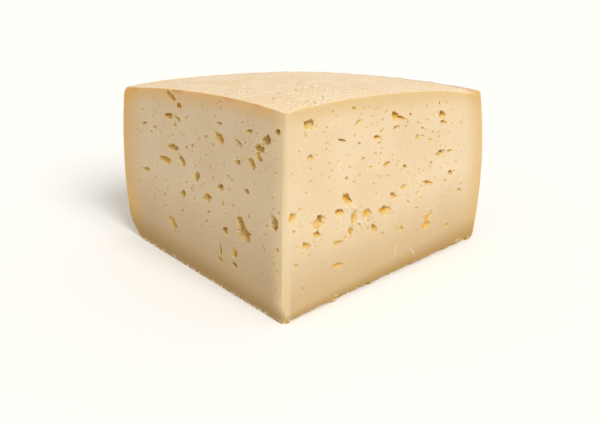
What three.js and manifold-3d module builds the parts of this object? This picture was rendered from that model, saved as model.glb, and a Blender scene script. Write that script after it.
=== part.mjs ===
// A wedge cut from a wheel of pressed cow's milk cheese, as one solid.
//
// The wedge stands on its base with +Z up. Its narrow tip points to -Y and the curved rind side
// is at +Y, so the two cut faces show from the front. The origin is under the middle of its box.

import * as THREE from "three";
import { mergeVertices } from "three/addons/utils/BufferGeometryUtils.js";
import Module from "manifold-3d";

// Driving dimensions, in millimetres and degrees.
const WHEEL_RADIUS = 177; // of the rind side, where it meets the top and the base
const SIDE_BULGE = 6.5; // how far the rind side swells out at half height
const RIM_HEIGHT = 106; // of the top where it meets the rind side
const CROWN_HEIGHT = 129.5; // of the top over the wheel's axis
const CROWN_POWER = 1.65; // 1 would make the top a cone, and 2 a bowl turned over
const CUT_ANGLE = 81.4; // between the two cut faces
const AXIS_RIGHT = 4; // the wheel's axis, measured from the edge where the cuts meet
const AXIS_BEHIND = 7.4;
const TIP_ROUND = 3; // radius of the blunt nose that the knife left along that edge
const TIP_TOP_RIGHT = 1.5; // how far the knife strayed to the right at the top of that edge,
const TIP_FOOT_LEFT = 0.8; // to the left at its foot,
const TIP_FOOT_AHEAD = 1.5; // and forward at its foot
const TOP_ROUND_LEFT = 5; // radius of the rind's top edge at the left cut
const TOP_ROUND_RIGHT = 1.5; // and at the right cut
const BASE_ROUND_LEFT = 18; // radius of the rind's bottom edge at the left cut
const BASE_ROUND_RIGHT = 4; // and at the right cut
const UNEVENNESS = 0.7; // how far the rind side strays from a true circle
const WAVE = 18; // a sixth of the length of such a swell

// How finely the solid is divided: across the wedge, from tip to rind, and from base to top.
const STEPS_ACROSS = 12;
const STEPS_OUTWARD = 12;
const STEPS_UPWARD = 10;
const CROWDING = 1.6; // over 1 sets the steps from tip to rind closer together near the rind

// The large eyes that a cut face shows, each as the distance from the tip, the height, the
// length, the breadth, the tilt of its length (rising away from the tip) and the depth.
const LEFT_EYES = [
  [8, 116.5, 5, 3.4, -35, 3.5], [18.5, 109.2, 8, 5.5, -30, 5], [25, 102.3, 8, 5, -15, 4.5],
  [26, 97, 6.5, 4, 20, 2], [33.5, 91.5, 8, 5, 25, 2.5], [35, 110.5, 5.5, 2.2, -20, 1.5],
  [46, 101, 6.5, 1.8, 15, 1.5], [47, 88.5, 5, 3, -10, 2], [66.5, 108, 5, 2, -5, 1.5],
  [67, 98.3, 9, 6.5, 10, 3], [38, 72.7, 4.5, 3.2, -20, 2.2], [66, 67, 6, 4, -30, 3.5],
  [92, 66.5, 7, 4, -65, 2.2], [10.5, 61.5, 8.5, 6.5, 55, 5], [44.5, 50.5, 8, 8, 0, 5],
  [41, 44.5, 11, 7.5, 0, 5], [61.5, 40, 6, 4.2, -30, 3], [51.5, 29, 6.5, 4.5, 80, 2],
  [67, 26, 6, 3, 80, 2], [67, 19, 5, 2.5, 0, 2], [51.3, 21, 5, 2.8, 0, 3],
  [81, 56, 9, 4.2, -25, 2.2], [121, 112.3, 10, 4, 15, 3], [112, 108, 6, 3.5, -30, 2.5],
  [125, 98.7, 9, 3.5, -15, 2.5], [114, 99.5, 6.5, 2.2, 15, 2], [155.5, 86.7, 5, 1.8, -20, 2],
  [120.5, 78.5, 11, 4.5, -10, 2.8], [110.5, 72.5, 8, 4.5, 20, 3], [131, 67.5, 13, 4.5, -8, 1.6],
  [110, 50, 6, 4.5, -30, 2.5], [155.5, 54.3, 7.5, 2.5, -15, 2], [124, 25.5, 8.5, 6.5, 20, 2.5],
];
const RIGHT_EYES = [
  [18.5, 119, 8.5, 5.2, 0, 5], [62, 111.3, 4.5, 2.5, 20, 1.8], [20.5, 99, 5, 3, -10, 2.2],
  [47.5, 103, 6, 1.8, -25, 2], [80, 97.5, 5.5, 2.8, -15, 2.2], [96.5, 107.5, 7, 4.5, -45, 2.5],
  [102.5, 105, 6, 2.2, -30, 1.8], [98, 100, 4.5, 2.6, 0, 2.5], [119.5, 88.8, 3.2, 3.2, 0, 1.8],
  [145, 98, 6, 4.5, -35, 3], [146.5, 92.8, 6.5, 2, -20, 1.5], [145, 72.5, 9, 3.2, -3, 6],
  [154.5, 71.5, 4.5, 2, -15, 1.8], [89.5, 78, 5.5, 3, -5, 2.5], [108, 72, 4, 2, -35, 1.8],
  [6.5, 66, 5.5, 5, 0, 1.6], [53.5, 64.5, 9, 4.5, -50, 2.5], [29.5, 57, 9, 7, -5, 6.5],
  [47, 58, 7, 4, -25, 2.8], [27.5, 49, 5, 4, -40, 2.2], [18, 45, 6.5, 3.8, -25, 2],
  [60.5, 51.5, 7.5, 5, 70, 2.5], [57.5, 43.5, 5, 3.5, 100, 2], [72.5, 50, 8, 5.5, -30, 1.6],
  [79.5, 38.5, 7, 3.5, -55, 2.5], [90, 47, 9, 5.5, -20, 2.5], [97, 55.5, 5, 3, -50, 2.2],
  [108, 58.5, 4.5, 2.8, 0, 1.6], [133, 54.5, 8, 2.6, -25, 1.8], [156.5, 55.5, 4.5, 3.2, -20, 5.5],
  [167.5, 40.5, 4.5, 2, -15, 1.6], [135, 30, 9, 4.5, 45, 2.4], [133.5, 24.5, 8, 5, -10, 2],
  [155.5, 18.3, 4.5, 2.5, -10, 2], [46.5, 23.5, 9, 3.2, -15, 1.8], [46.5, 38.5, 8, 2.4, -12, 1.5],
  [107, 30, 4, 3, -20, 1.6],
];

// The small eyes between them, strewn over each cut face.
const SMALL_EYES = 26; // on each face
const SMALL_EYE_LENGTH = [2, 4];
const SMALL_EYE_SHAPE = 0.55; // breadth and depth, as shares of the length
const SMALL_EYE_TILT = [-40, 5]; // the curd lies as the top does, falling away from the tip
const SMALL_EYE_MARGIN = 7; // clear of the edges of the face

// Where the rind broke away along the foot of a cut face: the stretch, the chips and their height.
const LEFT_CHIPS = { from: 20, to: 165, count: 5, height: 1.1 };
const RIGHT_CHIPS = { from: 66, to: 178, count: 12, height: 2.6 };
const CHIP_LENGTH = [9, 20];
const CHIP_DEPTH = 3;
const CHIP_HEIGHT_SHARE = [0.5, 1]; // of the height of the highest
const CHIP_STRAY = [0.2, 0.8]; // where in its share of the stretch a chip lies

const LUMPINESS = 0.16; // how far an eye or a chip strays from an ellipsoid,
const LUMPS_ALONG = 3; // and how quickly, along it and across it
const LUMPS_ACROSS = 2;
const LARGE_DETAIL = 1; // how often the faces of a large eye or a chip are divided,
const SMALL_DETAIL = 0; // and those of a small eye
const SEED = 7;
const DRAW_FACTOR = 16807; // the usual factor and modulus of a minimal random number generator
const DRAW_MODULUS = 2147483647;
const PASTE = { color: 0xf1dab0, roughness: 0.55, metalness: 0 };

const cutAngle = THREE.MathUtils.degToRad(CUT_ANGLE);
const { lerp } = THREE.MathUtils;

// A seeded draw, so that every run makes the same wedge.
let drawn = SEED;
function draw([low, high]) {
  drawn = (drawn * DRAW_FACTOR) % DRAW_MODULUS;
  return lerp(low, high, drawn / DRAW_MODULUS);
}

// The wheel

// Height of the top at a distance from the wheel's axis.
function topHeight(radius) {
  const share = Math.min(radius / WHEEL_RADIUS, 1);
  return lerp(CROWN_HEIGHT, RIM_HEIGHT, share ** CROWN_POWER);
}

// Radius of the rind side at a share of its height.
function sideRadius(share) {
  return WHEEL_RADIUS + SIDE_BULGE * (1 - (2 * share - 1) ** 2);
}

// Distance from the edge where the cuts meet to a circle round the wheel's axis.
function reach(bearing, radius) {
  const aside = AXIS_RIGHT * Math.cos(bearing) - AXIS_BEHIND * Math.sin(bearing);
  const ahead = AXIS_RIGHT * Math.sin(bearing) + AXIS_BEHIND * Math.cos(bearing);
  return ahead + Math.sqrt(radius ** 2 - aside ** 2);
}

// Distance from that edge to the nose, an arc that runs into both cut faces.
function noseDistance(bearing) {
  const middle = TIP_ROUND / Math.sin(cutAngle / 2);
  const aside = middle * Math.sin(bearing);
  return middle * Math.cos(bearing) - Math.sqrt(Math.max(0, TIP_ROUND ** 2 - aside ** 2));
}

// How far the cuts stray from true planes, at a share of the way to the rind and of the height.
function stray(share, level) {
  const right = lerp(-TIP_FOOT_LEFT, TIP_TOP_RIGHT, level);
  const behind = lerp(-TIP_FOOT_AHEAD, 0, level);
  return new THREE.Vector3(right, behind, 0).multiplyScalar(1 - share);
}

// The place on the wedge of a point in a unit box: across it, from tip to rind, and upward.
function wedgePoint(across, outward, upward) {
  const bearing = (across - 0.5) * cutAngle;
  const share = 1 - (1 - outward) ** CROWDING;
  const level = (1 - Math.cos(Math.PI * upward)) / 2;
  const tip = noseDistance(bearing);

  const flat = lerp(tip, reach(bearing, WHEEL_RADIUS), share);
  const x = flat * Math.sin(bearing);
  const y = flat * Math.cos(bearing);
  const top = topHeight(Math.hypot(x - AXIS_RIGHT, y - AXIS_BEHIND));
  const wobble = UNEVENNESS * Math.sin((WHEEL_RADIUS * bearing) / WAVE + level);
  const side = reach(bearing, sideRadius(level) + wobble);

  let distance = lerp(tip, side, share);
  let height = level * top;
  const low = level < 0.5;
  const baseRound = lerp(BASE_ROUND_LEFT, BASE_ROUND_RIGHT, across);
  const topRound = lerp(TOP_ROUND_LEFT, TOP_ROUND_RIGHT, across);
  const round = low ? baseRound : topRound;
  const pastSide = Math.max(0, round - (side - distance));
  const pastFace = Math.max(0, round - (low ? height : top - height));
  if (pastSide > 0 && pastFace > 0) {
    const keep = Math.max(pastSide, pastFace) / Math.hypot(pastSide, pastFace);
    const inset = round - pastFace * keep;
    distance = side - round + pastSide * keep;
    height = low ? inset : top - inset;
  }
  const point = new THREE.Vector3(distance * Math.sin(bearing), distance * Math.cos(bearing), height);
  return point.add(stray(share, level));
}

function uncutWedge() {
  const geometry = new THREE.BoxGeometry(1, 1, 1, STEPS_ACROSS, STEPS_OUTWARD, STEPS_UPWARD);
  const position = geometry.attributes.position;
  for (let i = 0; i < position.count; i += 1) {
    const point = wedgePoint(position.getX(i) + 0.5, position.getY(i) + 0.5, position.getZ(i) + 0.5);
    position.setXYZ(i, point.x, point.y, point.z);
  }
  return geometry;
}

// The eyes and chips

// The frame of a cut face: along it from the tip, up it, and through it.
function faceFrame(side) {
  const along = new THREE.Vector3(side * Math.sin(cutAngle / 2), Math.cos(cutAngle / 2), 0);
  const up = new THREE.Vector3(0, 0, 1);
  return new THREE.Matrix4().makeBasis(along, up, along.clone().cross(up));
}

// A lumpy blob centred on a cut face.
function blob(side, [along, up, length, breadth, tilt, depth], detail) {
  const geometry = new THREE.IcosahedronGeometry(1, detail);
  const position = geometry.attributes.position;
  const phase = along + up;
  const point = new THREE.Vector3();
  for (let i = 0; i < position.count; i += 1) {
    point.fromBufferAttribute(position, i);
    const lump = Math.sin(LUMPS_ALONG * point.x + phase) * Math.cos(LUMPS_ACROSS * point.y - phase);
    point.multiplyScalar(1 + LUMPINESS * lump);
    position.setXYZ(i, point.x, point.y, point.z);
  }
  geometry.scale(length / 2, breadth / 2, depth);
  geometry.rotateZ(THREE.MathUtils.degToRad(tilt));
  geometry.translate(along, up, 0);
  geometry.applyMatrix4(faceFrame(side));
  const { x, y, z } = stray(along / WHEEL_RADIUS, up / CROWN_HEIGHT);
  return geometry.translate(x, y, z);
}

// Small eyes, at most as high as the top lets them be.
function smallEyes() {
  return Array.from({ length: SMALL_EYES }, () => {
    const along = draw([SMALL_EYE_MARGIN, WHEEL_RADIUS - SMALL_EYE_MARGIN]);
    const up = draw([SMALL_EYE_MARGIN, topHeight(along) - SMALL_EYE_MARGIN]);
    const length = draw(SMALL_EYE_LENGTH);
    const breadth = length * SMALL_EYE_SHAPE;
    return [along, up, length, breadth, draw(SMALL_EYE_TILT), breadth];
  });
}

// Chips one after another along the foot of a cut face.
function chips({ from, to, count, height }) {
  return Array.from({ length: count }, (_, i) => {
    const along = lerp(from, to, (i + draw(CHIP_STRAY)) / count);
    const length = draw(CHIP_LENGTH);
    return [along, 0, length, 2 * height * draw(CHIP_HEIGHT_SHARE), 0, CHIP_DEPTH];
  });
}

// The solid

const wasm = await Module();
wasm.setup();

function toSolid(geometry) {
  geometry.deleteAttribute("normal");
  geometry.deleteAttribute("uv");
  const merged = mergeVertices(geometry);
  const mesh = new wasm.Mesh({
    numProp: 3,
    vertProperties: merged.attributes.position.array,
    triVerts: new Uint32Array(merged.index.array),
  });
  return new wasm.Manifold(mesh);
}

function toGeometry(solid) {
  const { vertProperties, triVerts } = solid.getMesh();
  const geometry = new THREE.BufferGeometry();
  geometry.setAttribute("position", new THREE.BufferAttribute(vertProperties, 3));
  geometry.setIndex(new THREE.BufferAttribute(triVerts, 1));
  return geometry;
}

let wedge = toSolid(uncutWedge());
for (const [side, eyes, chipped] of [[-1, LEFT_EYES, LEFT_CHIPS], [1, RIGHT_EYES, RIGHT_CHIPS]]) {
  const large = eyes.map((eye) => blob(side, eye, LARGE_DETAIL));
  const small = smallEyes().map((eye) => blob(side, eye, SMALL_DETAIL));
  const broken = chips(chipped).map((chip) => blob(side, chip, LARGE_DETAIL));
  for (const cutter of [...large, ...small, ...broken]) {
    wedge = wedge.subtract(toSolid(cutter));
  }
}

const geometry = toGeometry(wedge);
geometry.computeBoundingBox();
const { min, max } = geometry.boundingBox;
geometry.translate(-(min.x + max.x) / 2, -(min.y + max.y) / 2, -min.z);
geometry.computeVertexNormals();

const cheese = new THREE.Mesh(geometry, new THREE.MeshStandardMaterial(PASTE));
cheese.name = "cheese_wedge";
const part = new THREE.Group();
part.add(cheese);

export default part;
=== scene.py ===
"""A wedge of pressed cow's milk cheese with its eyes, rind and cloth print, on a pale floor."""

import math
import random

import bpy
from mathutils import Matrix, Vector


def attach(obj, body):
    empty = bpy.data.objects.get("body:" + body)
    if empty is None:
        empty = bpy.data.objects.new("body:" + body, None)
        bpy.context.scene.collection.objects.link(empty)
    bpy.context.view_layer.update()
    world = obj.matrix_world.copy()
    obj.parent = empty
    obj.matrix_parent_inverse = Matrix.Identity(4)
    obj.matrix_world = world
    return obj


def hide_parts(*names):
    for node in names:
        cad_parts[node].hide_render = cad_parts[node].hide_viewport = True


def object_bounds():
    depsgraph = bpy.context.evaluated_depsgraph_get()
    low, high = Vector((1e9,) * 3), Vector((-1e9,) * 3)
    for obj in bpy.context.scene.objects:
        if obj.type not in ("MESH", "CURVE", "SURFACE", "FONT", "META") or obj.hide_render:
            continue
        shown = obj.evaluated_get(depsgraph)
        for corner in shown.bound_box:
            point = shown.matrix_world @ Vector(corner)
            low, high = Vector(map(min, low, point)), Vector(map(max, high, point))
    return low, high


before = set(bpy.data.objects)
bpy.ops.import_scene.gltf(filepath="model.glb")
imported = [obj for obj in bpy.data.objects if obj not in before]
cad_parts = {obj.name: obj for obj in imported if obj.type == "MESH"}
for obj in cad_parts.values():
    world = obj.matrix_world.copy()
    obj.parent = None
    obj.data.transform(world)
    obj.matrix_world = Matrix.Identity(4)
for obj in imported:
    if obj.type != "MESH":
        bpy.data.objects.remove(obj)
solid_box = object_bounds()

MM = 0.001

# The wheel and the two cuts, as in the part's source.
WHEEL_RADIUS = 177 * MM
SIDE_BULGE = 6.5 * MM
RIM_HEIGHT = 106 * MM
CROWN_HEIGHT = 129.5 * MM
CROWN_POWER = 1.65
CUT_ANGLE = math.radians(81.4)
AXIS_RIGHT = 4 * MM
AXIS_BEHIND = 7.4 * MM
TIP_ROUND = 3 * MM
TIP_TOP_RIGHT = 1.5 * MM
TIP_FOOT_LEFT = 0.8 * MM
TIP_FOOT_AHEAD = 1.5 * MM
TOP_ROUND_LEFT = 5 * MM
TOP_ROUND_RIGHT = 1.5 * MM
BASE_ROUND_LEFT = 18 * MM
BASE_ROUND_RIGHT = 4 * MM
UNEVENNESS = 0.7 * MM
WAVE = 18 * MM

# How finely the wedge is divided: across it, from tip to rind, and from base to top. The steps
# from tip to rind crowd together towards the rind.
STEPS_ACROSS = 96
STEPS_OUTWARD = 60
STEPS_UPWARD = 44
CROWDING = 1.25

# A length that is as good as none, so that nothing is divided by nought.
LEAST_LENGTH = 0.001 * MM

# The grain of the whole surface, which leaves the base flat, and the rim: its ridge, its wrinkles
# and the stretch of its edge on the right that is worn down.
SURFACE_GRAIN = 0.3 * MM
SURFACE_GRAIN_SCALE = 70
SURFACE_GRAIN_ABOVE = 4 * MM
RIM_WRINKLE = 0.6 * MM
RIM_WRINKLE_SCALE = 260
RIM_WIDTH = 6 * MM
RIM_RIDGE_LEFT = 0.6 * MM
RIM_RIDGE_RIGHT = 0.1 * MM
WORN_EDGE = 1.8 * MM
WORN_EDGE_WIDTH = 7 * MM
WORN_EDGE_BEHIND = (100 * MM, 135 * MM)

# The large eyes, as in the part's source: the distance from the tip, the height, the length,
# the breadth, the tilt of the length (rising away from the tip) and the depth, in millimetres
# and degrees.
LEFT_EYES = [
    (8, 116.5, 5, 3.4, -35, 3.5), (18.5, 109.2, 8, 5.5, -30, 5), (25, 102.3, 8, 5, -15, 4.5),
    (26, 97, 6.5, 4, 20, 2), (33.5, 91.5, 8, 5, 25, 2.5), (35, 110.5, 5.5, 2.2, -20, 1.5),
    (46, 101, 6.5, 1.8, 15, 1.5), (47, 88.5, 5, 3, -10, 2), (66.5, 108, 5, 2, -5, 1.5),
    (67, 98.3, 9, 6.5, 10, 3), (38, 72.7, 4.5, 3.2, -20, 2.2), (66, 67, 6, 4, -30, 3.5),
    (92, 66.5, 7, 4, -65, 2.2), (10.5, 61.5, 8.5, 6.5, 55, 5), (44.5, 50.5, 8, 8, 0, 5),
    (41, 44.5, 11, 7.5, 0, 5), (61.5, 40, 6, 4.2, -30, 3), (51.5, 29, 6.5, 4.5, 80, 2),
    (67, 26, 6, 3, 80, 2), (67, 19, 5, 2.5, 0, 2), (51.3, 21, 5, 2.8, 0, 3),
    (81, 56, 9, 4.2, -25, 2.2), (121, 112.3, 10, 4, 15, 3), (112, 108, 6, 3.5, -30, 2.5),
    (125, 98.7, 9, 3.5, -15, 2.5), (114, 99.5, 6.5, 2.2, 15, 2), (155.5, 86.7, 5, 1.8, -20, 2),
    (120.5, 78.5, 11, 4.5, -10, 2.8), (110.5, 72.5, 8, 4.5, 20, 3), (131, 67.5, 13, 4.5, -8, 1.6),
    (110, 50, 6, 4.5, -30, 2.5), (155.5, 54.3, 7.5, 2.5, -15, 2), (124, 25.5, 8.5, 6.5, 20, 2.5),
]
RIGHT_EYES = [
    (18.5, 119, 8.5, 5.2, 0, 5), (62, 111.3, 4.5, 2.5, 20, 1.8), (20.5, 99, 5, 3, -10, 2.2),
    (47.5, 103, 6, 1.8, -25, 2), (80, 97.5, 5.5, 2.8, -15, 2.2), (96.5, 107.5, 7, 4.5, -45, 2.5),
    (102.5, 105, 6, 2.2, -30, 1.8), (98, 100, 4.5, 2.6, 0, 2.5), (119.5, 88.8, 3.2, 3.2, 0, 1.8),
    (145, 98, 6, 4.5, -35, 3), (146.5, 92.8, 6.5, 2, -20, 1.5), (145, 72.5, 9, 3.2, -3, 6),
    (154.5, 71.5, 4.5, 2, -15, 1.8), (89.5, 78, 5.5, 3, -5, 2.5), (108, 72, 4, 2, -35, 1.8),
    (6.5, 66, 5.5, 5, 0, 1.6), (53.5, 64.5, 9, 4.5, -50, 2.5), (29.5, 57, 9, 7, -5, 6.5),
    (47, 58, 7, 4, -25, 2.8), (27.5, 49, 5, 4, -40, 2.2), (18, 45, 6.5, 3.8, -25, 2),
    (60.5, 51.5, 7.5, 5, 70, 2.5), (57.5, 43.5, 5, 3.5, 100, 2), (72.5, 50, 8, 5.5, -30, 1.6),
    (79.5, 38.5, 7, 3.5, -55, 2.5), (90, 47, 9, 5.5, -20, 2.5), (97, 55.5, 5, 3, -50, 2.2),
    (108, 58.5, 4.5, 2.8, 0, 1.6), (133, 54.5, 8, 2.6, -25, 1.8), (156.5, 55.5, 4.5, 3.2, -20, 5.5),
    (167.5, 40.5, 4.5, 2, -15, 1.6), (135, 30, 9, 4.5, 45, 2.4), (133.5, 24.5, 8, 5, -10, 2),
    (155.5, 18.3, 4.5, 2.5, -10, 2), (46.5, 23.5, 9, 3.2, -15, 1.8), (46.5, 38.5, 8, 2.4, -12, 1.5),
    (107, 30, 4, 3, -20, 1.6),
]

# The middling eyes: the distance from the tip and the height, in millimetres, and below the lists
# what their sizes are drawn from. A shape is a breadth, and a depth a depth, as a share of the length.
LEFT_MIDDLING = [
    (22.5, 105.5), (9.5, 92), (42, 91), (12.5, 76.5), (57, 68.5), (57.5, 77), (54, 75.5), (63.5, 57.5),
    (36, 57.5), (17.5, 57.3), (19, 51.5), (24, 47.5), (20, 42), (7, 45.7), (22, 25.5), (7, 32),
    (46, 43), (51, 36), (103.5, 102.5), (117, 94.5), (157, 96), (142, 87), (162, 53.5), (122.5, 20.3),
    (117, 22), (111, 38.5), (132.5, 43), (129, 47.5), (144, 43.3), (147, 36.5), (99.5, 56.5), (105, 59.5),
    (113, 61), (97, 86), (104, 83), (147, 83), (81, 96), (82, 40.5), (80, 47),
]
RIGHT_MIDDLING = [
    (38.5, 122.5), (57.5, 120.5), (34, 114), (20.5, 92.5), (21, 84.8), (58.5, 104), (34, 101), (63, 97.7),
    (83.5, 100.5), (82, 93.7), (87.5, 112), (84, 108), (74.5, 107.2), (111.5, 105.5), (109, 101), (125, 93.5),
    (125, 88.5), (142, 84), (133, 84), (111.5, 67.7), (135, 67.8), (84, 71), (74.5, 80), (67, 87),
    (83.5, 86.7), (39, 86.5), (52.5, 78), (5, 93), (12, 69.5), (21, 38.5), (10, 35), (7.5, 57),
    (56.5, 43.5), (73.5, 45), (100, 54), (151.5, 51.5), (123, 24.5), (88, 32.5), (110.5, 10.5), (53, 40),
    (46, 4), (16, 18.5), (122, 40), (112.5, 47.2), (126, 46.5), (14, 58.5), (78, 68.5),
]
MIDDLING_LENGTH = (1.5, 3.1)
MIDDLING_SHAPE = (0.45, 0.8)
MIDDLING_DEPTH = 0.4
MIDDLING_TILT = (-55, 15)

# The small eyes strewn between them on each cut face, in millimetres and degrees. A rise below 1
# makes them denser towards the top, and a rarity above 1 makes the long ones rarer.
SMALL_EYES = 340
SMALL_LENGTH = (0.8, 2.4)
SMALL_SHAPE = 0.65
SMALL_DEPTH = 0.25
SMALL_TILT = (-45, 10)
SMALL_MARGIN = 6
SMALL_FOOT = 16
SMALL_RISE = 0.75
SMALL_RARITY = 2

# The pits in the top, strewn over a patch behind the tip, in millimetres and radians.
PITS = 24
PITS_RIGHT = (-16, 46)
PITS_BEHIND = (22, 112)
PIT_LENGTH = (1.5, 3)
PIT_SHAPE = 0.55
PIT_TURN = 0.5
PIT_DEPTH = 1.4

# Where the paste broke away along the foot of a cut face, in millimetres. A chip strays within its
# share of the stretch, and is up to the whole height.
LEFT_CHIPS = [{"start": 20, "end": 165, "count": 6, "height": 0.9}]
RIGHT_CHIPS = [
    {"start": 6, "end": 42, "count": 10, "height": 1.6},
    {"start": 48, "end": 178, "count": 38, "height": 2.6},
]
CHIP_LENGTH = (4, 11)
CHIP_DEPTH = 2.4
CHIP_STRAY = (0.2, 0.8)
CHIP_HEIGHT_SHARE = (0.5, 1)

# The torn paste that stands out of a cut face, in the words of the large eyes, with the height
# in place of the depth: beside the tip, round the largest openings, in two streaks, and a flap.
LEFT_TORN = [(4, 12, 14, 2, 85, 0.8)]
RIGHT_TORN = [
    (53, 59.5, 7, 3.5, -20, 1.2), (61, 57, 8, 3, -35, 1), (66, 46, 9, 5, -35, 1.4), (72, 44.5, 6, 3, -20, 1),
    (119.5, 10.3, 15.5, 3.5, -50, 0.6), (102, 17, 23.5, 2.5, 72, 0.35), (168, 3.5, 10, 4, 10, 2),
]
TORN_SUNK = 0.6
TORN_DIVISIONS = 3

# The seed of all that is strewn by chance.
SEED = 7

# The shape of an eye of unit size: how far its wall lies from its middle, by cells that make its
# corners and its teeth, and how it shelves from its deep side to its shallow one.
EYE_KINDS = 8
EYE_KIND_TURN = 1.7
EYE_HOLLOW = 0.34
EYE_CORNERS = 0.9
EYE_CELLS = 1.3
EYE_TEETH = 0.6
EYE_TEETH_CELLS = 3
EYE_PROUD = 0.05
EYE_SHELF = (-1.3, 0.5)
EYE_SHALLOW = 0.22
EYE_UNDERCUT = 0.04

# Edges that bend by more than this look sharp.
SHARP_EDGE = math.radians(32)

# The grades of what is cut out of the wedge or stands out of it. Of each hollow: how finely it is
# divided, and how strongly the paste paints amber light and shade in it where it is deepest.
LARGE, MIDDLING, SMALL, CHIPPED, TORN = range(5)
HOLLOWS = [(LARGE, 4, 1.05), (MIDDLING, 3, 1), (SMALL, 2, 0.85), (CHIPPED, 3, 0)]

half_cut = CUT_ANGLE / 2
tip_gap = TIP_ROUND / math.sin(half_cut) - TIP_ROUND


def reach(bearing, radius):
    """Distance from the edge where the cuts meet to a circle round the wheel's axis."""
    aside = AXIS_RIGHT * math.cos(bearing) - AXIS_BEHIND * math.sin(bearing)
    ahead = AXIS_RIGHT * math.sin(bearing) + AXIS_BEHIND * math.cos(bearing)
    return ahead + math.sqrt(radius**2 - aside**2)


widest = WHEEL_RADIUS + SIDE_BULGE
lopsided = (reach(half_cut, widest) - reach(-half_cut, widest)) * math.sin(half_cut) / 2
low_corner, high_corner = (Vector(corner) for corner in solid_box)
TIP_X = (low_corner.x + high_corner.x) / 2 - lopsided
TIP_Y = low_corner.y - tip_gap + TIP_FOOT_AHEAD
AXIS_X = TIP_X + AXIS_RIGHT
AXIS_Y = TIP_Y + AXIS_BEHIND


class Wire:
    """A node socket that takes part in Python expressions."""

    def __init__(self, tree, socket=None):
        self.tree = tree
        self.socket = socket

    def feed(self, socket, value):
        """Links a wire, or several, to a socket, or sets its plain value."""
        if isinstance(value, Wire):
            self.tree.links.new(value.socket, socket)
        elif isinstance(value, list):
            for wire in value:
                self.tree.links.new(wire.socket, socket)
        else:
            socket.default_value = value

    def node(self, kind, settings=None, sockets=None, output=0):
        """Adds a node, with its settings and then its sockets, and gives one of its outputs."""
        made = self.tree.nodes.new(kind)
        for name, value in (settings or {}).items():
            setattr(made, name, value)
        for key, value in (sockets or {}).items():
            self.feed(made.inputs[key], value)
        return Wire(self.tree, made.outputs[output]) if made.outputs else None

    def math(self, operation, *values):
        return self.node("ShaderNodeMath", {"operation": operation}, dict(enumerate(values)))

    def vector(self, operation, *values):
        return self.node("ShaderNodeVectorMath", {"operation": operation}, dict(enumerate(values)))

    def __add__(self, other):
        return self.math("ADD", self, other)

    __radd__ = __add__

    def __sub__(self, other):
        return self.math("SUBTRACT", self, other)

    def __rsub__(self, other):
        return self.math("SUBTRACT", other, self)

    def __mul__(self, other):
        return self.math("MULTIPLY", self, other)

    __rmul__ = __mul__

    def __truediv__(self, other):
        return self.math("DIVIDE", self, other)

    def __rtruediv__(self, other):
        return self.math("DIVIDE", other, self)

    def __pow__(self, other):
        return self.math("POWER", self, other)

    def __neg__(self):
        return self.math("MULTIPLY", self, -1)

    def __lt__(self, other):
        return self.math("LESS_THAN", self, other)

    def __gt__(self, other):
        return self.math("GREATER_THAN", self, other)

    def sin(self):
        return self.math("SINE", self)

    def cos(self):
        return self.math("COSINE", self)

    def sqrt(self):
        return self.math("SQRT", self)

    def least(self, other):
        return self.math("MINIMUM", self, other)

    def most(self, other):
        return self.math("MAXIMUM", self, other)

    def toward(self, other, share):
        """The value that is a share of the way from this one to another."""
        return self + (other - self) * share

    def step(self, low, high):
        """A smooth step from 0 at one value to 1 at another."""
        sockets = {"Value": self, "From Min": low, "From Max": high}
        return self.node("ShaderNodeMapRange", {"interpolation_type": "SMOOTHSTEP"}, sockets)

    def parts(self):
        """The three numbers of a vector."""
        split = self.tree.nodes.new("ShaderNodeSeparateXYZ")
        self.feed(split.inputs[0], self)
        return [Wire(self.tree, output) for output in split.outputs]

    def join(self, x, y, z):
        return self.node("ShaderNodeCombineXYZ", sockets={0: x, 1: y, 2: z})

    def noise(self, scale, detail=2, turn=0, output=0):
        """Noise over a place, in three dimensions and a fourth that changes the pattern."""
        sockets = {"Vector": self, "W": turn, "Scale": scale, "Detail": detail}
        return self.node("ShaderNodeTexNoise", {"noise_dimensions": "4D"}, sockets, output)

    def cells(self, scale, turn=0, disorder=1):
        """The distance from the middle of the nearest of many cells, packed as curd grains are."""
        sockets = {"Vector": self, "W": turn, "Scale": scale, "Randomness": disorder}
        return self.node("ShaderNodeTexVoronoi", {"voronoi_dimensions": "4D"}, sockets, "Distance")

    def blend(self, first, second):
        """Mixes two colours by this share."""
        settings = {"data_type": "RGBA", "clamp_factor": True}
        return self.node("ShaderNodeMix", settings, {0: self, 6: first, 7: second}, 2)


# Shapes

SIZES = {
    "Wheel Radius": WHEEL_RADIUS,
    "Side Bulge": SIDE_BULGE,
    "Rim Height": RIM_HEIGHT,
    "Crown Height": CROWN_HEIGHT,
    "Crown Power": CROWN_POWER,
    "Cut Angle": CUT_ANGLE,
    "Axis Right": AXIS_RIGHT,
    "Axis Behind": AXIS_BEHIND,
    "Tip Round": TIP_ROUND,
    "Tip Top Right": TIP_TOP_RIGHT,
    "Tip Foot Left": TIP_FOOT_LEFT,
    "Tip Foot Ahead": TIP_FOOT_AHEAD,
    "Left Top Round": TOP_ROUND_LEFT,
    "Right Top Round": TOP_ROUND_RIGHT,
    "Left Base Round": BASE_ROUND_LEFT,
    "Right Base Round": BASE_ROUND_RIGHT,
    "Unevenness": UNEVENNESS,
    "Wave": WAVE,
    "Surface Grain": SURFACE_GRAIN,
    "Rim Wrinkle": RIM_WRINKLE,
    "Left Rim Ridge": RIM_RIDGE_LEFT,
    "Right Rim Ridge": RIM_RIDGE_RIGHT,
    "Worn Edge": WORN_EDGE,
}


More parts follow.
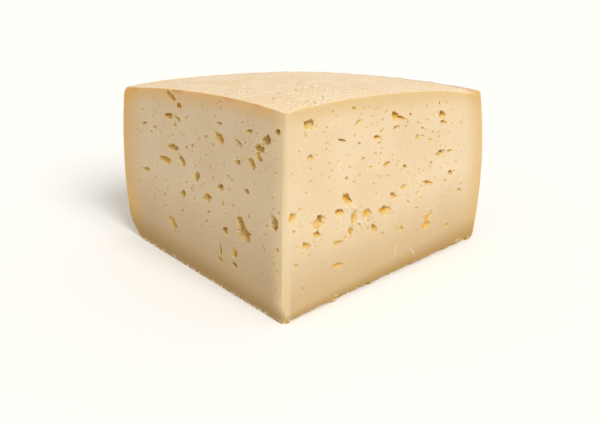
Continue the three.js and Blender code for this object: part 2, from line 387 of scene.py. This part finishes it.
def new_tree(name, floats, materials):
    """An empty geometry tree with named inputs, its start wire and its input wires by name."""
    tree = bpy.data.node_groups.new(name, "GeometryNodeTree")
    interface = tree.interface
    interface.new_socket("Geometry", in_out="INPUT", socket_type="NodeSocketGeometry")
    interface.new_socket("Geometry", in_out="OUTPUT", socket_type="NodeSocketGeometry")
    for label in floats:
        interface.new_socket(label, in_out="INPUT", socket_type="NodeSocketFloat")
    for label in materials:
        interface.new_socket(label, in_out="INPUT", socket_type="NodeSocketMaterial")
    entry = tree.nodes.new("NodeGroupInput")
    wires = {output.name: Wire(tree, output) for output in entry.outputs if output.name}
    return tree, Wire(tree), wires


def wedge_places(start, size):
    """Bends the points of a unit box into the wedge, by the same rule as the solid."""
    x, y, z = start.node("GeometryNodeInputPosition").parts()
    across = x + 0.5
    bearing = x * size["Cut Angle"]
    sine = bearing.sin()
    cosine = bearing.cos()
    share = 1 - (0.5 - y) ** CROWDING
    level = (1 + (z * math.pi).sin()) * 0.5

    nose = size["Tip Round"]
    middle = nose / (size["Cut Angle"] * 0.5).sin()
    off_middle = middle * sine
    tip = middle * cosine - (nose * nose - off_middle * off_middle).most(0).sqrt()

    aside = size["Axis Right"] * cosine - size["Axis Behind"] * sine
    ahead = size["Axis Right"] * sine + size["Axis Behind"] * cosine

    def reach_to(radius):
        return ahead + (radius * radius - aside * aside).sqrt()

    flat = tip.toward(reach_to(size["Wheel Radius"]), share)
    from_axis_x = flat * sine - size["Axis Right"]
    from_axis_y = flat * cosine - size["Axis Behind"]
    from_axis = (from_axis_x * from_axis_x + from_axis_y * from_axis_y).sqrt()
    fall = (from_axis / size["Wheel Radius"]).least(1) ** size["Crown Power"]
    top = size["Crown Height"].toward(size["Rim Height"], fall)
    wobble = size["Unevenness"] * (size["Wheel Radius"] * bearing / size["Wave"] + level).sin()
    swell = size["Side Bulge"] * 4 * level * (1 - level)
    side = reach_to(size["Wheel Radius"] + swell + wobble)

    distance = tip.toward(side, share)
    height = level * top
    low = level < 0.5
    base_round = size["Left Base Round"].toward(size["Right Base Round"], across)
    top_round = size["Left Top Round"].toward(size["Right Top Round"], across)
    rounding = top_round.toward(base_round, low)
    gap = (top - height).toward(height, low)
    past_side = (rounding - (side - distance)).most(0)
    past_face = (rounding - gap).most(0)
    diagonal = (past_side * past_side + past_face * past_face).sqrt().most(LEAST_LENGTH)
    corner = (past_side > 0) * (past_face > 0)
    lost = corner * (1 - past_side.most(past_face) / diagonal)
    distance = distance - past_side * lost
    gap = gap + past_face * lost
    height = (top - gap).toward(gap, low)
    stray_right = (-size["Tip Foot Left"]).toward(size["Tip Top Right"], level) * (1 - share)
    stray_behind = size["Tip Foot Ahead"] * (level - 1) * (1 - share)
    right = TIP_X + distance * sine + stray_right
    behind = TIP_Y + distance * cosine + stray_behind
    return start.join(right, behind, height)


def wedge_body(start, size):
    """The whole wedge before its eyes, with its rind faces marked."""
    counts = {"Size": (1, 1, 1), "Vertices X": STEPS_ACROSS + 1}
    counts |= {"Vertices Y": STEPS_OUTWARD + 1, "Vertices Z": STEPS_UPWARD + 1}
    box = start.node("GeometryNodeMeshCube", sockets=counts)
    facing_x, facing_y, _ = start.node("GeometryNodeInputNormal").parts()
    cut = (facing_x * facing_x).most(-facing_y)
    skinned = marked(start, box, "rind", 1 - cut)
    sockets = {"Geometry": skinned, "Position": wedge_places(start, size)}
    bent = start.node("GeometryNodeSetPosition", sockets=sockets)
    place = start.node("GeometryNodeInputPosition")
    grain = start.vector("SUBTRACT", place.noise(SURFACE_GRAIN_SCALE, turn=SEED, output=1), (0.5, 0.5, 0.5))
    stray_x, stray_y, stray_z = grain.parts()
    amount = size["Surface Grain"] * 2
    x, y, z = place.parts()
    from_axis_x = x - AXIS_X
    from_axis_y = y - AXIS_Y
    from_axis = (from_axis_x * from_axis_x + from_axis_y * from_axis_y).sqrt()
    on_rim = from_axis.step(WHEEL_RADIUS - RIM_WIDTH, WHEEL_RADIUS - RIM_WIDTH / 2)
    rightward = (x - TIP_X).step(-WHEEL_RADIUS / 2, WHEEL_RADIUS / 2)
    ridge = size["Left Rim Ridge"].toward(size["Right Rim Ridge"], rightward)
    wrinkle = (place.noise(RIM_WRINKLE_SCALE, 1, SEED) - 0.5) * 2 * size["Rim Wrinkle"]
    inside_right = (y - TIP_Y) * math.sin(half_cut) - (x - TIP_X) * math.cos(half_cut)
    near_right = 1 - inside_right.step(0, WORN_EDGE_WIDTH)
    worn = near_right * (y - TIP_Y).step(*WORN_EDGE_BEHIND) * size["Worn Edge"]
    high = z.step(RIM_HEIGHT / 2, RIM_HEIGHT)
    grain_lift = stray_z * amount * z.step(0, SURFACE_GRAIN_ABOVE)
    rim_lift = (ridge + wrinkle + worn).toward(0, 1 - on_rim) * high - worn * high
    stray = start.join(stray_x * amount, stray_y * amount, grain_lift + rim_lift)
    return start.node("GeometryNodeSetPosition", sockets={"Geometry": bent, "Offset": stray})


def marked(start, shape, name, value):
    """Marks the faces of a shape with a value that the finishes read."""
    settings = {"data_type": "FLOAT", "domain": "FACE"}
    sockets = {"Geometry": shape, "Name": name, "Value": value}
    return start.node("GeometryNodeStoreNamedAttribute", settings, sockets)


def eye_blobs(start, divisions, amber_shade):
    """Hollows between curd grains, of unit size and of several kinds, whose walls bulge in between corners.

    A hollow is deepest beyond -X +Y, where its edge overhangs, and shelves up to the other side.
    Its mark, which the paste paints as amber light and shade, grows with the depth.
    """
    place = start.node("GeometryNodeInputPosition")
    x, y, z = place.parts()
    shelf = (y - x).step(*EYE_SHELF)
    sunk = (-z).most(0) * (EYE_SHALLOW + (1 - EYE_SHALLOW) * shelf)
    undercut = sunk * EYE_UNDERCUT
    ball = start.node("GeometryNodeMeshIcoSphere", sockets={"Radius": 1, "Subdivisions": divisions})
    marked_ball = marked(start, ball, "eye", sunk.sqrt() * amber_shade)
    blobs = []
    for kind in range(EYE_KINDS):
        turn = kind * EYE_KIND_TURN
        corners = EYE_CORNERS * place.cells(EYE_CELLS, turn)
        teeth = EYE_TEETH * place.cells(EYE_TEETH_CELLS, turn)
        swell = EYE_HOLLOW + corners + teeth
        height = (z.most(0) - sunk) * swell + EYE_PROUD
        shaped = start.join((x - undercut) * swell, (y + undercut) * swell, height)
        sockets = {"Geometry": marked_ball, "Position": shaped}
        blobs.append(start.node("GeometryNodeSetPosition", sockets=sockets))
    return blobs


def torn_blob(start):
    """A smooth swelling of unit size, sunk so that only its cap stands out."""
    sockets = {"Radius": 1, "Subdivisions": TORN_DIVISIONS}
    ball = start.node("GeometryNodeMeshIcoSphere", sockets=sockets)
    _, _, z = start.node("GeometryNodeInputPosition").parts()
    marked_ball = marked(start, ball, "torn", (z - TORN_SUNK) / (1 - TORN_SUNK))
    sockets = {"Geometry": marked_ball, "Translation": (0, 0, -TORN_SUNK)}
    return start.node("GeometryNodeTransform", sockets=sockets)


def blobs_on_points(start, points, wanted, blobs):
    """Blobs on the points whose grade is the wanted one."""
    def read(name, kind):
        return start.node("GeometryNodeInputNamedAttribute", {"data_type": kind}, {"Name": name})

    choices = start.node("GeometryNodeGeometryToInstance", sockets={"Geometry": blobs})
    turn = start.node("FunctionNodeEulerToRotation", sockets={"Euler": read("turn", "FLOAT_VECTOR")})
    away = read("grade", "FLOAT") - wanted
    sockets = {
        "Points": points,
        "Selection": (away < 0.5) * (away > -0.5),
        "Instance": choices,
        "Pick Instance": True,
        "Instance Index": read("kind", "INT"),
        "Rotation": turn,
        "Scale": read("half_size", "FLOAT_VECTOR"),
    }
    return start.node("GeometryNodeInstanceOnPoints", sockets=sockets)


def wedge_tree():
    """The nodes that make the wedge: the body, less the eyes, with its two materials."""
    tree, start, size = new_tree("wedge_with_eyes", SIZES, ["Paste", "Rind"])
    points = size["Geometry"]
    raised = blobs_on_points(start, points, TORN, torn_blob(start))
    settings = {"operation": "UNION", "solver": "MANIFOLD"}
    body = start.node("GeometryNodeMeshBoolean", settings, {"Mesh 2": [wedge_body(start, size), raised]})
    hollows = [
        blobs_on_points(start, points, grade, eye_blobs(start, divisions, amber_shade))
        for grade, divisions, amber_shade in HOLLOWS
    ]
    settings = {"operation": "DIFFERENCE", "solver": "MANIFOLD"}
    cut = start.node("GeometryNodeMeshBoolean", settings, {"Mesh 1": body, "Mesh 2": hollows})
    sockets = {"Geometry": cut, "Shade Smooth": True}
    smooth = start.node("GeometryNodeSetShadeSmooth", {"domain": "FACE"}, sockets)
    angle = start.node("GeometryNodeInputMeshEdgeAngle")
    sockets = {"Geometry": smooth, "Selection": angle > SHARP_EDGE, "Shade Smooth": False}
    creased = start.node("GeometryNodeSetShadeSmooth", {"domain": "EDGE"}, sockets)
    whole = start.node("GeometryNodeRealizeInstances", sockets={"Geometry": creased})
    rind = start.node("GeometryNodeInputNamedAttribute", {"data_type": "FLOAT"}, {"Name": "rind"})
    pasted = start.node("GeometryNodeSetMaterial", sockets={"Geometry": whole, "Material": size["Paste"]})
    sockets = {"Geometry": pasted, "Selection": rind > 0.5, "Material": size["Rind"]}
    dressed = start.node("GeometryNodeSetMaterial", sockets=sockets)
    start.node("NodeGroupOutput", sockets={"Geometry": dressed})
    return tree


def face_turn(side, tilt):
    """The turn from a blob's own axes to a cut face: rightwards along it, up it, and out of it."""
    rightwards = Vector((math.sin(half_cut), side * math.cos(half_cut), 0))
    up = Vector((0, 0, 1))
    upright = Matrix((rightwards, up, rightwards.cross(up))).transposed()
    return (upright @ Matrix.Rotation(math.radians(tilt), 3, "Z")).to_euler()


def on_face(side, along, up):
    """A place on a cut face, given in millimetres, where the knife strayed as in the solid."""
    near_tip = 1 - along * MM / WHEEL_RADIUS
    level = up * MM / CROWN_HEIGHT
    stray_right = (TIP_TOP_RIGHT * level - TIP_FOOT_LEFT * (1 - level)) * near_tip
    stray_behind = -TIP_FOOT_AHEAD * (1 - level) * near_tip
    right = TIP_X + side * math.sin(half_cut) * along * MM + stray_right
    behind = TIP_Y + math.cos(half_cut) * along * MM + stray_behind
    return right, behind, up * MM


def top_height(right, behind):
    """The height of the top at a distance to the right of the cuts' meeting edge and behind it."""
    from_axis = math.hypot(right - AXIS_RIGHT, behind - AXIS_BEHIND)
    fall = min(1, from_axis / WHEEL_RADIUS) ** CROWN_POWER
    return CROWN_HEIGHT + (RIM_HEIGHT - CROWN_HEIGHT) * fall


def middling_eyes(draw, places):
    """Middling eyes at their places, in the same words as the large ones."""
    for along, up in places:
        length = draw.uniform(*MIDDLING_LENGTH)
        breadth = length * draw.uniform(*MIDDLING_SHAPE)
        yield along, up, length, breadth, draw.uniform(*MIDDLING_TILT), length * MIDDLING_DEPTH


def small_eyes(draw):
    """Small eyes strewn over a cut face, in the same words as the large ones."""
    far = WHEEL_RADIUS / MM - SMALL_MARGIN
    for _ in range(SMALL_EYES):
        along = draw.uniform(SMALL_MARGIN, far)
        top = top_height(0, along * MM) / MM
        up = SMALL_FOOT + (top - SMALL_MARGIN - SMALL_FOOT) * draw.random() ** SMALL_RISE
        shortest, longest = SMALL_LENGTH
        length = shortest + (longest - shortest) * draw.random() ** SMALL_RARITY
        breadth = length * SMALL_SHAPE
        yield along, up, length, breadth, draw.uniform(*SMALL_TILT), length * SMALL_DEPTH


def foot_chips(draw, start, end, count, height):
    """Chips one after another along the foot of a cut face, in the same words as the eyes."""
    for i in range(count):
        along = start + (end - start) * (i + draw.uniform(*CHIP_STRAY)) / count
        length = draw.uniform(*CHIP_LENGTH)
        breadth = 2 * height * draw.uniform(*CHIP_HEIGHT_SHARE)
        yield along, 0, length, breadth, 0, CHIP_DEPTH


def face_blobs(side, grade, rows):
    """What a cut face has of one grade: each blob's grade, place, half size and turn.

    On the left a blob lies across its own axes, so that its deep side is towards the tip there too.
    """
    for along, up, length, breadth, tilt, depth in rows:
        place = on_face(side, along, up)
        half_length = length * MM / 2
        half_breadth = breadth * MM / 2
        if side > 0:
            yield grade, place, (half_length, half_breadth, depth * MM), face_turn(side, tilt)
        else:
            yield grade, place, (half_breadth, half_length, depth * MM), face_turn(side, -tilt - 90)


def top_pits(draw):
    """Pits in the top, in the same form."""
    for _ in range(PITS):
        behind = draw.uniform(*PITS_BEHIND) * MM
        widest_right = behind * math.tan(half_cut) - SMALL_MARGIN * MM
        right = max(-widest_right, min(widest_right, draw.uniform(*PITS_RIGHT) * MM))
        half = draw.uniform(*PIT_LENGTH) * MM / 2
        place = (TIP_X + right, TIP_Y + behind, top_height(right, behind))
        turn = (0, 0, draw.uniform(-PIT_TURN, PIT_TURN))
        yield MIDDLING, place, (half * PIT_SHAPE, half, PIT_DEPTH * MM), turn


def blob_points():
    """A mesh of one point for each eye, chip, pit and torn place, with its grade, size, turn and kind."""
    draw = random.Random(SEED)
    blobs = list(top_pits(draw))
    for side, large, middling, chips, torn in (
        (-1, LEFT_EYES, LEFT_MIDDLING, LEFT_CHIPS, LEFT_TORN),
        (1, RIGHT_EYES, RIGHT_MIDDLING, RIGHT_CHIPS, RIGHT_TORN),
    ):
        blobs += face_blobs(side, LARGE, large)
        blobs += face_blobs(side, MIDDLING, middling_eyes(draw, middling))
        blobs += face_blobs(side, SMALL, small_eyes(draw))
        blobs += face_blobs(side, TORN, torn)
        for run in chips:
            blobs += face_blobs(side, CHIPPED, foot_chips(draw, **run))
    grades, places, halves, turns = zip(*blobs)
    mesh = bpy.data.meshes.new("cheese_wedge")
    mesh.from_pydata(places, [], [])
    for name, kind, field, values in (
        ("half_size", "FLOAT_VECTOR", "vector", [n for half in halves for n in half]),
        ("turn", "FLOAT_VECTOR", "vector", [n for turn in turns for n in turn]),
        ("grade", "FLOAT", "value", grades),
        ("kind", "INT", "value", [draw.randrange(EYE_KINDS) for _ in places]),
    ):
        mesh.attributes.new(name, kind, "POINT").data.foreach_set(field, values)
    return mesh


def settle(piece):
    """Turns what an object's nodes make into a plain mesh of its own."""
    depsgraph = bpy.context.evaluated_depsgraph_get()
    made = bpy.data.meshes.new_from_object(piece.evaluated_get(depsgraph))
    piece.modifiers.clear()
    piece.data = made


def make_wedge(paste, rind):
    piece = bpy.data.objects.new("cheese_wedge_dressed", blob_points())
    bpy.context.scene.collection.objects.link(piece)
    tree = wedge_tree()
    modifier = piece.modifiers.new("wedge", "NODES")
    modifier.node_group = tree
    values = SIZES | {"Paste": paste, "Rind": rind}
    for item in tree.interface.items_tree:
        if item.in_out == "INPUT" and item.name in values:
            modifier[item.identifier] = values[item.name]
    settle(piece)
    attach(piece, "root")
    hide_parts("cheese_wedge")


# Finishes


def colour(red, green, blue):
    """A colour given as it shows on a screen, from 0 to 255, as the shader's own numbers."""
    def linear(value):
        share = value / 255
        return share / 12.92 if share <= 0.04045 else ((share + 0.055) / 1.055) ** 2.4

    return (linear(red), linear(green), linear(blue), 1)


PASTE_PALE = colour(234, 212, 177)
PASTE_WARM = colour(228, 203, 164)
PASTE_LOW_TONE_AND_SHADE = colour(197, 164, 114)
PASTE_FOOT_TONE_AND_SHADE = colour(168, 130, 52)
RIGHT_GLOW = colour(216, 180, 112)
LEFT_STRAW_AND_PAINTED_LIGHT = colour(238, 186, 94)
NOSE_PAINTED_SHADE = colour(224, 206, 174)
TIP_PAINTED_LIGHT = colour(250, 226, 178)
TORN_PALE = colour(246, 232, 206)
STAIN = colour(212, 144, 82)
EYE_PAINTED_AMBER = colour(223, 193, 118)
EYE_PAINTED_DEEP_SHADE = colour(222, 162, 8)
PIT_BROWN = colour(230, 172, 104)
RIND_PRINT = colour(255, 250, 240)
RIND_PALE = colour(242, 213, 174)
RIND_WARM = colour(236, 205, 160)
RIND_SIDE = colour(236, 206, 158)
RIND_DARK = colour(222, 186, 134)
RIND_RIM = colour(200, 158, 116)
SPECK_RED = colour(206, 84, 52)
SPECK_YELLOW = colour(244, 190, 60)
SPECK_OLIVE = colour(170, 158, 100)

# Stray specks: the cut face, the distance from the tip, the height and the radius in millimetres.
SPECKS = [
    (-1, 65, 122, 0.8, SPECK_RED), (-1, 68.5, 120, 0.7, SPECK_RED), (-1, 64.5, 118.2, 0.8, SPECK_OLIVE),
    (1, 141, 107, 1.0, SPECK_RED), (1, 145, 107.6, 1.2, SPECK_YELLOW), (1, 107.5, 99, 0.9, SPECK_OLIVE),
]

# The share of a speck's radius that has its full colour.
SPECK_CORE = 0.5

# The shine of the cheese, and how far light goes into it.
PASTE_ROUGHNESS = 0.5
RIND_ROUGHNESS = 0.6
SUBSURFACE = 0.8
SUBSURFACE_SCALE = 2 * MM
SUBSURFACE_RADIUS = (1.0, 0.8, 0.35)

# The cut paste. A reach says where a tint fades out, and a tint how strong it is where it is full.
# Blotches, grain and scales are counted in a metre.
PASTE_BLOTCHES = 28
PASTE_GRAIN = 650
PASTE_BLOTCH_SHARE = 0.6
PASTE_MOTTLE = (0.35, 0.68)
# Darker low on the cut faces: partly the paste's own tone, partly painted shade.
LOW_TONE_AND_SHADE_REACH = 62 * MM
LOW_TONE_AND_SHADE_TINT = 0.8
TOP_GLOW_REACH = 14 * MM
TOP_GLOW = 0.6
SIDE_GLOW_REACH = 20 * MM
SIDE_GLOW_MORE_ON_LEFT = 8 * MM
SIDE_GLOW = 0.7
MOST_GLOW = 0.9
# Painted light on the left face beside the tip.
TIP_REACH = (3 * MM, 14 * MM)
TIP_PAINTED_LIGHT_TINT = 0.6
# Painted shade on the rounded nose.
NOSE_REACH = (2.5 * MM, 6 * MM)
NOSE_EDGE = (-1 * MM, 1 * MM)
NOSE_PAINTED_SHADE_TINT = 0.6
# Darker at the foot: partly the paste's own tone by the base rind, partly painted shade.
FOOT_REACH = 7 * MM
FOOT_GROWTH = 0.07
FOOT_MORE_ON_LEFT = 6 * MM
FOOT_TONE_AND_SHADE_TINT = 0.85
FLAKE_REACH = (1 * MM, 3 * MM)
FLAKE_GRAIN = (0.5, 0.58)
FLAKE_TINT = 0.8
TORN_TINT = 0.25
STAIN_REACH = (0.5 * MM, 4 * MM)
STAIN_SCALE = 42
STAIN_PATCHES = (0.52, 0.62)
STAIN_TINT = 0.5
# Where the eyes are painted amber, standing for light through the paste, and darker with depth, standing for
# shade.
EYE_AMBER_DEPTHS = (0.12, 0.75)
EYE_DEEP_SHADE_DEPTHS = (0.62, 1.1)
PIT_REACH = (2 * MM, 4 * MM)
PASTE_RELIEF_SCALE = 210
PASTE_RELIEF_SHARE = 2
PASTE_BUMP = 0.35
PASTE_BUMP_HEIGHT = 0.3 * MM

# The rind: the print of the cloth, which is worn in places, its blotches, and the darker rim,
# which grows broader with the turn to the right round the axis, in radians.
CLOTH_WARP = 1.8 * MM
CLOTH_WEFT = 5.5 * MM
CLOTH_STAGGER = 0.5
CLOTH_DISORDER = 0.6
CLOTH_MARK = (0.14, 0.48)
CLOTH_WEAR_SCALE = 90
CLOTH_WEAR = (0.32, 0.62)
CLOTH_LEAST = 0.3
CLOTH_ON_SIDE = 0.5
RIND_BLOTCHES = 35
RIND_MOTTLE = (0.35, 0.7)
TOP_EDGE = (1 * MM, 6 * MM)
DARK_RIM_WIDTH = 4 * MM
DARK_RIM_MORE_ON_RIGHT = 11 * MM
DARK_RIM_TURN = (0.2, 0.65)
DARK_RIM_EDGE = (0.4, 1)
DARK_RIM_DEPTH = (2 * MM, 7 * MM)
DARK_RIM_LEAST = 0.4
RIND_RELIEF_SCALE = 120
RIND_BUMP = 0.15
RIND_BUMP_HEIGHT = 0.4 * MM


class Place:
    """Where a point of the surface lies in the wheel, as wires of a material."""

    def __init__(self, start):
        self.here = start.node("ShaderNodeTexCoord", output=3)
        self.x, self.y, self.z = self.here.parts()
        from_axis_x = self.x - AXIS_X
        from_axis_y = self.y - AXIS_Y
        self.radius = (from_axis_x * from_axis_x + from_axis_y * from_axis_y).sqrt()
        self.turn = start.math("ARCTAN2", from_axis_x, from_axis_y)
        fall = (self.radius / WHEEL_RADIUS).least(1) ** CROWN_POWER
        top = CROWN_HEIGHT - (CROWN_HEIGHT - RIM_HEIGHT) * fall
        level = self.z / top
        self.below_top = top - self.z
        self.inside_side = WHEEL_RADIUS + SIDE_BULGE * 4 * level * (1 - level) - self.radius
        tip_x = self.x - TIP_X
        tip_y = self.y - TIP_Y
        self.from_tip = (tip_x * tip_x + tip_y * tip_y).sqrt()


def new_material(name, roughness):
    """A material with one shader, its start wire and the shader's inputs."""
    material = bpy.data.materials.new(name)
    material.use_nodes = True
    shader = material.node_tree.nodes["Principled BSDF"]
    shader.inputs["Roughness"].default_value = roughness
    shader.inputs["Subsurface Weight"].default_value = SUBSURFACE
    shader.inputs["Subsurface Scale"].default_value = SUBSURFACE_SCALE
    shader.inputs["Subsurface Radius"].default_value = SUBSURFACE_RADIUS
    return material, Wire(material.node_tree), shader.inputs


def speckled(place, base):
    """A colour with the stray specks on it."""
    for side, along, up, radius, tint in SPECKS:
        settings = {"operation": "DISTANCE"}
        sockets = {0: place.here, 1: on_face(side, along, up)}
        away = place.here.node("ShaderNodeVectorMath", settings, sockets, "Value")
        base = (1 - away.step(radius * MM * SPECK_CORE, radius * MM)).blend(base, tint)
    return base


def paste_material():
    """The cut paste: pale, warmer in blotches, straw under the rind, and golden down in the eyes, partly
    painted light and shade.
    """
    material, start, shader = new_material("cheese_paste", PASTE_ROUGHNESS)
    place = Place(start)
    eye = start.node("ShaderNodeAttribute", {"attribute_name": "eye"}, output="Fac")
    torn = start.node("ShaderNodeAttribute", {"attribute_name": "torn"}, output="Fac")
    blotch = place.here.noise(PASTE_BLOTCHES, detail=3)
    grain = place.here.noise(PASTE_GRAIN, detail=3, turn=2)
    mottle = blotch * PASTE_BLOTCH_SHARE + grain * (1 - PASTE_BLOTCH_SHARE)
    base = mottle.step(*PASTE_MOTTLE).blend(PASTE_PALE, PASTE_WARM)
    # Darker low on the cut faces: partly the paste's own tone, partly painted shade.
    low = 1 - place.z.step(0, LOW_TONE_AND_SHADE_REACH)
    base = (low * LOW_TONE_AND_SHADE_TINT).blend(base, PASTE_LOW_TONE_AND_SHADE)

    on_left = place.x < TIP_X
    near_top = 1 - place.below_top.step(0, TOP_GLOW_REACH)
    near_side = 1 - place.inside_side.step(0, SIDE_GLOW_REACH + on_left * SIDE_GLOW_MORE_ON_LEFT)
    under_rind = near_top * TOP_GLOW + near_side * SIDE_GLOW
    # Straw under the rind; on the left face the straw is brighter and warmer than on the right, which is
    # painted light on that side.
    base = under_rind.least(MOST_GLOW).blend(base, on_left.blend(RIGHT_GLOW, LEFT_STRAW_AND_PAINTED_LIGHT))
    # Paler on the left face beside the tip: painted light, as of light passing through the thin tip.
    near_tip = 1 - place.from_tip.step(*TIP_REACH)
    base = (near_tip * on_left * TIP_PAINTED_LIGHT_TINT).blend(base, TIP_PAINTED_LIGHT)
    # Greyer on the rounded nose where it faces the key light: painted shade.
    nose_shade = (1 - place.from_tip.step(*NOSE_REACH)) * (place.x - TIP_X).step(*NOSE_EDGE)
    base = (nose_shade * NOSE_PAINTED_SHADE_TINT).blend(base, NOSE_PAINTED_SHADE)

    # Darker at the foot, more so on the left: partly the paste's own tone by the base rind, partly painted
    # shade where the cut faces meet the floor.
    foot_height = FOOT_REACH + place.from_tip * FOOT_GROWTH + on_left * FOOT_MORE_ON_LEFT
    foot_tone_and_shade = 1 - (place.z / foot_height).step(0, 1)
    base = (foot_tone_and_shade * FOOT_TONE_AND_SHADE_TINT).blend(base, PASTE_FOOT_TONE_AND_SHADE)
    flaked = (1 - place.z.step(*FLAKE_REACH)) * grain.step(*FLAKE_GRAIN)
    base = (flaked * FLAKE_TINT).most(torn.step(0, 1) * TORN_TINT).blend(base, TORN_PALE)
    patches = place.here.noise(STAIN_SCALE, detail=1, turn=9).step(*STAIN_PATCHES)
    stained = (1 - place.below_top.step(*STAIN_REACH)) * patches * on_left
    base = (stained * STAIN_TINT).blend(base, STAIN)

    # Down in the eyes: painted amber for light through the translucent paste, turning darker with depth as
    # painted shade.
    base = eye.step(*EYE_AMBER_DEPTHS).blend(base, EYE_PAINTED_AMBER)
    base = eye.step(*EYE_DEEP_SHADE_DEPTHS).blend(base, EYE_PAINTED_DEEP_SHADE)
    in_pit = eye.step(*EYE_AMBER_DEPTHS) * (1 - place.below_top.step(*PIT_REACH))
    base = in_pit.blend(base, PIT_BROWN)
    start.feed(shader["Base Color"], speckled(place, base))
    relief = grain + place.here.noise(PASTE_RELIEF_SCALE, detail=2, turn=5) * PASTE_RELIEF_SHARE
    sockets = {"Strength": PASTE_BUMP, "Distance": PASTE_BUMP_HEIGHT, "Height": relief}
    start.feed(shader["Normal"], start.node("ShaderNodeBump", sockets=sockets))
    return material


def rind_material():
    """The rind: printed by the cloth, pale on the top, straw on the side and darker round the rim."""
    material, start, shader = new_material("cheese_rind", RIND_ROUGHNESS)
    place = Place(start)
    on_top = place.inside_side.step(*TOP_EDGE)
    arc = place.turn * WHEEL_RADIUS
    warp = arc.toward(place.x, on_top)
    weft = place.z.toward(place.y, on_top)
    row = weft / CLOTH_WEFT
    cloth = start.join(warp / CLOTH_WARP + row * CLOTH_STAGGER, row, CLOTH_DISORDER / 2)
    worn = place.here.noise(CLOTH_WEAR_SCALE, detail=2, turn=7).step(*CLOTH_WEAR)
    marks = 1 - cloth.cells(1, CLOTH_DISORDER / 2, CLOTH_DISORDER).step(*CLOTH_MARK)
    knots = marks * (CLOTH_LEAST + worn * (1 - CLOTH_LEAST))
    blotch = place.here.noise(RIND_BLOTCHES, detail=4, turn=3).step(*RIND_MOTTLE)
    top = knots.blend(blotch.blend(RIND_PALE, RIND_WARM), RIND_PRINT)
    side = blotch.blend(RIND_SIDE, RIND_DARK)
    side = (knots * CLOTH_ON_SIDE).blend(side, RIND_PRINT)
    base = on_top.blend(side, top)

    rim_width = DARK_RIM_WIDTH + place.turn.step(*DARK_RIM_TURN) * DARK_RIM_MORE_ON_RIGHT
    by_side = 1 - (place.inside_side / rim_width).step(*DARK_RIM_EDGE)
    on_rim = by_side * (1 - place.below_top.step(*DARK_RIM_DEPTH))
    base = (on_rim * (DARK_RIM_LEAST + blotch * (1 - DARK_RIM_LEAST))).blend(base, RIND_RIM)
    start.feed(shader["Base Color"], base)
    relief = knots + place.here.noise(RIND_RELIEF_SCALE, detail=3, turn=5)
    sockets = {"Strength": RIND_BUMP, "Distance": RIND_BUMP_HEIGHT, "Height": relief}
    start.feed(shader["Normal"], start.node("ShaderNodeBump", sockets=sockets))
    return material


# The studio

CAMERA_RIGHT_OF_TIP = 44.3 * MM
CAMERA_BEFORE_TIP = 608.8 * MM
CAMERA_HEIGHT = 308.2 * MM
CAMERA_PITCH = math.radians(21.19)
CAMERA_HEADING = math.radians(3.32)
CAMERA_LENS = 69
CAMERA_NEAR = 0.01
FLOOR_SIZE = 8
FLOOR_ROUGHNESS = 0.9
FLOOR_COLOUR = (0.95, 0.955, 0.97, 1)
WORLD_COLOUR = (1, 0.95, 0.84, 1)
WORLD_STRENGTH = 0.62
KEY_STRENGTH = 2.25
KEY_SOFTNESS = math.radians(30)
KEY_FROM = (0.42, -0.62, 0.66)


def make_camera():
    data = bpy.data.cameras.new("photo_camera")
    data.lens = CAMERA_LENS
    data.clip_start = CAMERA_NEAR
    camera = bpy.data.objects.new("photo_camera", data)
    camera.location = (TIP_X + CAMERA_RIGHT_OF_TIP, TIP_Y - CAMERA_BEFORE_TIP, CAMERA_HEIGHT)
    camera.rotation_euler = (math.pi / 2 - CAMERA_PITCH, 0, CAMERA_HEADING)
    bpy.context.scene.collection.objects.link(camera)
    bpy.context.scene.camera = camera


def make_floor():
    mesh = bpy.data.meshes.new("floor")
    half = FLOOR_SIZE / 2
    corners = [(-half, -half, 0), (half, -half, 0), (half, half, 0), (-half, half, 0)]
    mesh.from_pydata(corners, [], [(0, 1, 2, 3)])
    floor = bpy.data.objects.new("floor", mesh)
    material = bpy.data.materials.new("pale_floor")
    material.use_nodes = True
    shader = material.node_tree.nodes["Principled BSDF"].inputs
    shader["Base Color"].default_value = FLOOR_COLOUR
    shader["Roughness"].default_value = FLOOR_ROUGHNESS
    mesh.materials.append(material)
    bpy.context.scene.collection.objects.link(floor)
    # The floor throws no light back up, so that the cuts are lit from above as in a dark studio.
    floor.visible_diffuse = False


def make_light():
    world = bpy.data.worlds.new("studio")
    world.use_nodes = True
    background = world.node_tree.nodes["Background"].inputs
    background["Color"].default_value = WORLD_COLOUR
    background["Strength"].default_value = WORLD_STRENGTH
    bpy.context.scene.world = world
    data = bpy.data.lights.new("key", "SUN")
    data.energy = KEY_STRENGTH
    data.angle = KEY_SOFTNESS
    key = bpy.data.objects.new("key", data)
    key.rotation_euler = (-Vector(KEY_FROM)).to_track_quat("-Z", "Y").to_euler()
    bpy.context.scene.collection.objects.link(key)


make_camera()
make_light()
make_floor()
make_wedge(paste_material(), rind_material())
bpy.context.scene.view_settings.view_transform = "Standard"
